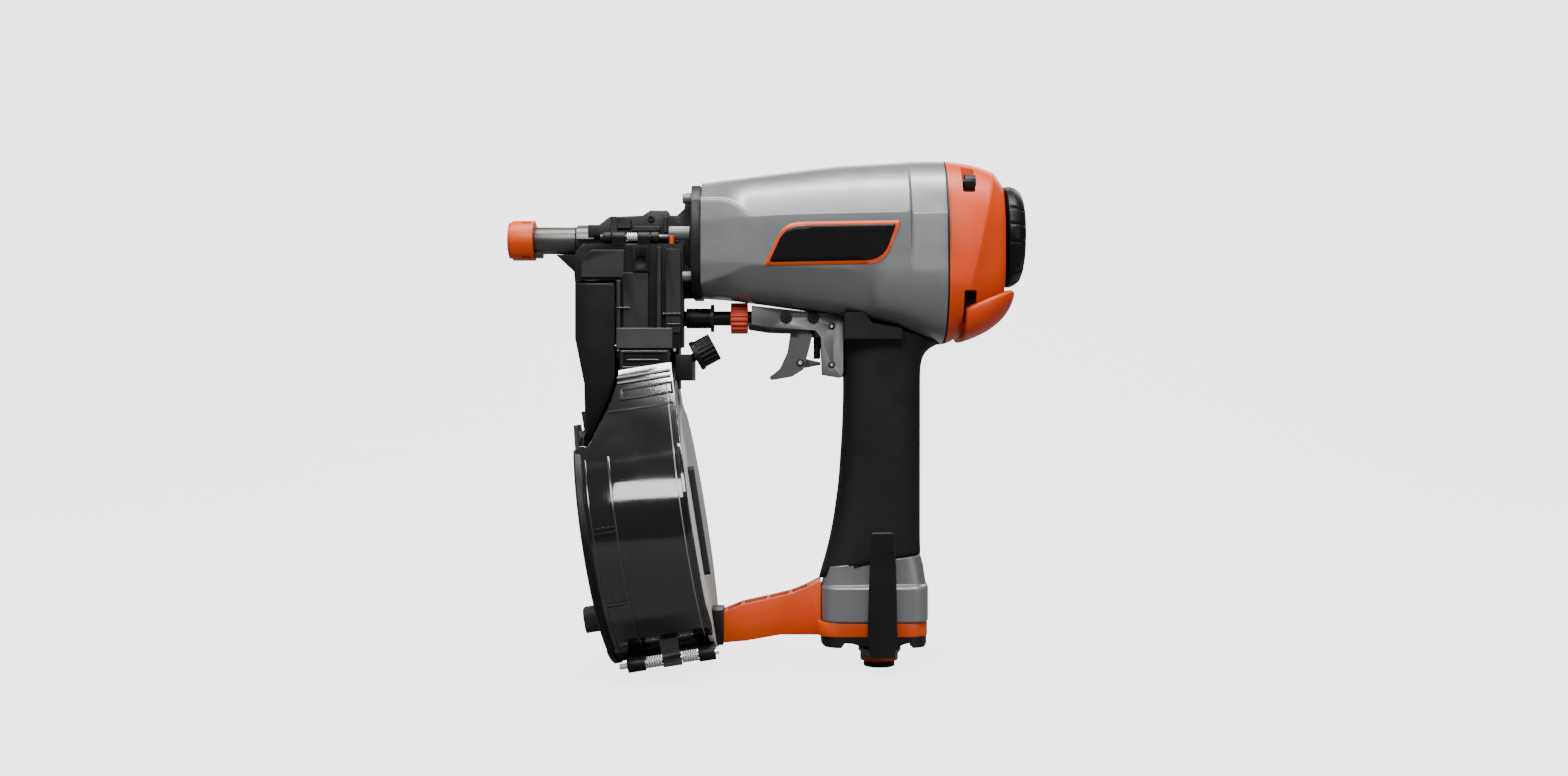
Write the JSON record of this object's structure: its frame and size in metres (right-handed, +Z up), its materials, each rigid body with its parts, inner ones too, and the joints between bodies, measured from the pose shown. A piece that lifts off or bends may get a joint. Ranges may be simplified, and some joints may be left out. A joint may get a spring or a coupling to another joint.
{
  "type": "pneumatic coil nailer",
  "caption": "Air-driven coil nailer with long nose, side door, round hinged magazine, trigger grip, depth wheel, swivel exhaust and belt hook",
  "frame": {"origin": "centre of the air inlet's mouth, at the bottom of the handle", "axes": "+X from the nose towards the rear cap, parallel to the drive axis; +Z up along the handle; -Z out of the air inlet"},
  "size_m": [0.2959, 0.144, 0.2912],
  "materials": {
    "silver_paint": "satin metallic silver-grey paint on cast aluminium",
    "grip_rubber": "matte fine-textured overmould",
    "black_plastic": "fine moulded texture",
    "orange_plastic": "satin moulded orange",
    "black_steel": "black phosphate coating",
    "burnished_steel": "warm grey hardened steel",
    "bright_steel": "zinc plated",
    "cast_aluminium": "fine cast",
    "smoky_plastic": "smoky polycarbonate",
    "grey_plastic": "light grey moulded",
    "black_rubber": "nitrile rubber"
  },
  "bodies": {
    "root": {"main_housing": "silver_paint", "grip_sleeve": "grip_rubber", "end_plate": "black_plastic", "end_plate_bolts": "bright_steel", "magazine_strut": "orange_plastic", "inlet_fitting": "black_steel", "inlet_collar": "orange_plastic", "cylinder_liner": "cast_aluminium", "liner_rings": "black_rubber", "piston_bumper": "black_rubber", "cap_gasket": "black_rubber", "rear_cap": "orange_plastic", "cap_bolts": "bright_steel", "nose_casting": "black_steel", "nose_bolts": "bright_steel", "nose_barrel": "burnished_steel", "door_hinge_pin": "bright_steel", "door_spring": "bright_steel", "front_shield": "black_plastic", "magazine_base": "black_plastic", "canister_back_plate": "grey_plastic", "back_strip": "black_plastic", "cover_hinge_pin": "bright_steel", "cover_springs": "bright_steel", "nail_post": "burnished_steel", "rest_foot": "black_rubber", "strut_socket": "black_plastic", "feed_cylinder": "cast_aluminium", "feed_cap": "bright_steel", "trigger_bracket": "cast_aluminium", "bracket_screws": "bright_steel", "bracket_pins": "burnished_steel", "guard_strip": "black_plastic", "trigger_pin": "bright_steel", "trigger_valve": "cast_aluminium", "side_badges": "black_plastic"},
    "driver": {"piston": "cast_aluminium", "piston_ring": "black_rubber", "driver_blade": "burnished_steel"},
    "head_valve": {"head_valve": "cast_aluminium"},
    "deflector": {"exhaust_deflector": "black_plastic"},
    "contact": {"nose_cap": "orange_plastic", "contact_tube": "burnished_steel", "contact_arm": "black_steel", "contact_rod": "black_steel"},
    "depth_wheel": {"depth_wheel": "orange_plastic"},
    "depth_stop": {"depth_stop": "black_plastic"},
    "door": {"nose_door": "black_steel"},
    "door_latch": {"door_latch": "black_plastic"},
    "cover": {"canister_cover": "smoky_plastic"},
    "platform": {"nail_platform": "grey_plastic"},
    "knob": {"latch_knob": "black_plastic"},
    "feed": {"feed_piston": "bright_steel", "pawl_pin": "burnished_steel"},
    "pawl": {"feed_pawl": "burnished_steel"},
    "trigger": {"trigger": "cast_aluminium", "lever_pin": "burnished_steel"},
    "trip_lever": {"trip_lever": "burnished_steel"},
    "valve_stem": {"valve_stem": "black_plastic"},
    "hook": {"belt_hook": "black_steel"}
  },
  "joints": [
    {"name": "driver_stroke", "type": "slide", "parent": "root", "child": "driver", "axis": [-1, 0, 0], "range_m": [0, 0.084]},
    {"name": "head_valve_lift", "type": "slide", "parent": "root", "child": "head_valve", "axis": [1, 0, 0], "range_m": [0, 0.006], "stiffness_N_per_m": 800, "springref_m": -0.002},
    {"name": "deflector_turn", "type": "hinge", "parent": "root", "child": "deflector", "pos_m": [0.0765, 0, 0.248], "axis": [1, 0, 0], "continuous": true},
    {"name": "contact_slide", "type": "slide", "parent": "root", "child": "contact", "axis": [1, 0, 0], "range_m": [0, 0.007], "stiffness_N_per_m": 600, "springref_m": -0.004},
    {"name": "depth_wheel_turn", "type": "hinge", "parent": "root", "child": "depth_wheel", "pos_m": [-0.081, 0, 0.201], "axis": [1, 0, 0], "range_deg": [-360, 360]},
    {"name": "depth_stop_travel", "type": "slide", "parent": "root", "child": "depth_stop", "axis": [1, 0, 0], "range_m": [-0.0016, 0.0016]},
    {"name": "door_open", "type": "hinge", "parent": "root", "child": "door", "pos_m": [-0.14, -0.013, 0.247], "axis": [-1, 0, 0], "range_deg": [0, 100]},
    {"name": "door_latch_slide", "type": "slide", "parent": "door", "child": "door_latch", "axis": [0, 0, -1], "range_m": [0, 0.004], "stiffness_N_per_m": 200, "springref_m": -0.003},
    {"name": "cover_open", "type": "hinge", "parent": "root", "child": "cover", "pos_m": [-0.11811, -0.034, 0.00964], "axis": [0.9877, 0, 0.1564], "range_deg": [0, 75]},
    {"name": "platform_height", "type": "slide", "parent": "root", "child": "platform", "axis": [0.9877, 0, 0.1564], "range_m": [0, 0.02]},
    {"name": "latch_knob_turn", "type": "hinge", "parent": "root", "child": "knob", "pos_m": [-0.11, -0.008, 0.1766], "axis": [0.8829, 0, 0.4695], "range_deg": [0, 90]},
    {"name": "feed_stroke", "type": "slide", "parent": "root", "child": "feed", "axis": [0, 0, 1], "range_m": [0, 0.011]},
    {"name": "pawl_swing", "type": "hinge", "parent": "feed", "child": "pawl", "pos_m": [-0.146, 0.029, 0.2192], "axis": [1, 0, 0], "range_deg": [-6, 6], "stiffness_Nm_per_rad": 0.03},
    {"name": "trigger_pull", "type": "hinge", "parent": "root", "child": "trigger", "pos_m": [-0.0539, 0, 0.2013], "axis": [0, -1, 0], "range_deg": [0, 12], "stiffness_Nm_per_rad": 1.2, "springref_deg": -5.73},
    {"name": "trip_lever_swing", "type": "hinge", "parent": "trigger", "child": "trip_lever", "pos_m": [-0.0458, 0, 0.1752], "axis": [0, 1, 0], "range_deg": [0, 8], "stiffness_Nm_per_rad": 0.02, "springref_deg": -5.73},
    {"name": "valve_stem_travel", "type": "slide", "parent": "root", "child": "valve_stem", "axis": [0, 0, 1], "range_m": [0, 0.0045]},
    {"name": "hook_swing", "type": "hinge", "parent": "root", "child": "hook", "pos_m": [0, 0, 0.011], "axis": [0, 0, 1], "range_deg": [0, 180]}
  ],
  "couplings": [
    {"joint": "depth_stop_travel", "follows": "depth_wheel_turn", "m_per_rad": 0.0002387},
    {"joint": "valve_stem_travel", "follows": "trigger_pull", "m_per_rad": 0.0191}
  ]
}
